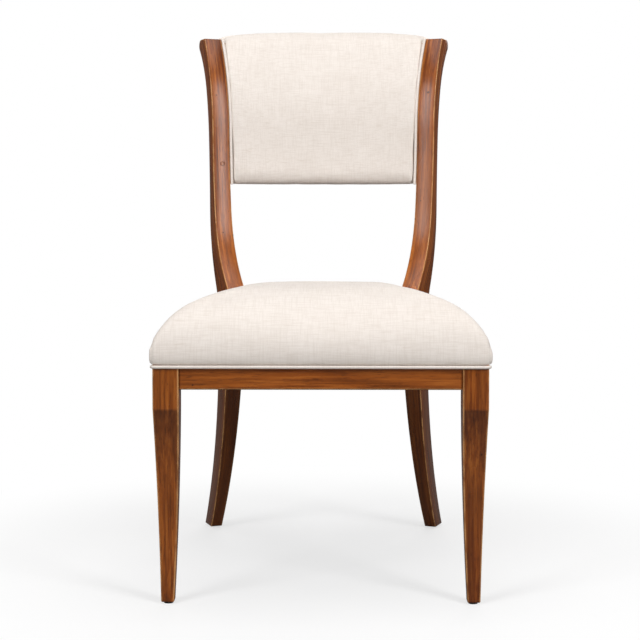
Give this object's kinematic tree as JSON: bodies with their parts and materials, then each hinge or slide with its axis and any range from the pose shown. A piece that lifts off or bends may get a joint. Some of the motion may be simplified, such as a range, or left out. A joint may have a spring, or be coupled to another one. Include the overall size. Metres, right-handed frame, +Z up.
{
  "type": "klismos dining chair",
  "caption": "Armless klismos dining chair with sabre legs, a crowned tight upholstered seat and a curved upholstered back panel held between flared stiles.",
  "frame": {"origin": "on the floor, in the middle of the chair's bounding box", "axes": "+Z up, the chair faces -Y, +X on the right of someone standing in front of it"},
  "size_m": [0.5186, 0.6348, 0.93],
  "materials": {
    "stained_wood": "warm brown stain under satin lacquer, lightly rubbed at the edges",
    "frame_wood": "planed hardwood, unfinished, inside the frame",
    "linen": "plain-woven off-white linen",
    "foam": "polyurethane upholstery foam",
    "wadding": "bonded polyester wadding",
    "webbing": "woven upholstery webbing",
    "dust_cloth": "black non-woven dust cloth",
    "screw_steel": "zinc plated",
    "glide_plastic": "dark brown nylon"
  },
  "bodies": {
    "root": {"front_leg_right": "stained_wood", "front_leg_left": "stained_wood", "rear_leg_right": "stained_wood", "rear_leg_left": "stained_wood", "front_rail": "stained_wood", "side_rail_right": "stained_wood", "side_rail_left": "stained_wood", "rear_rail": "stained_wood", "corner_block_front_right": "frame_wood", "corner_block_front_left": "frame_wood", "corner_block_rear_right": "frame_wood", "corner_block_rear_left": "frame_wood", "corner_block_screws": "screw_steel", "seat_webbing_lengthwise": "webbing", "seat_webbing_crosswise": "webbing", "seat_foam": "foam", "seat_wadding": "wadding", "seat_cover": "linen", "seat_welt": "linen", "dust_cover": "dust_cloth", "leg_glides": "glide_plastic", "back_top_rail": "frame_wood", "back_bottom_rail": "frame_wood", "back_rail_dowels": "frame_wood", "back_webbing": "webbing", "back_foam": "foam", "back_cover": "linen", "outside_back": "linen", "back_welt_right": "linen", "back_welt_left": "linen"}
  },
  "joints": []
}
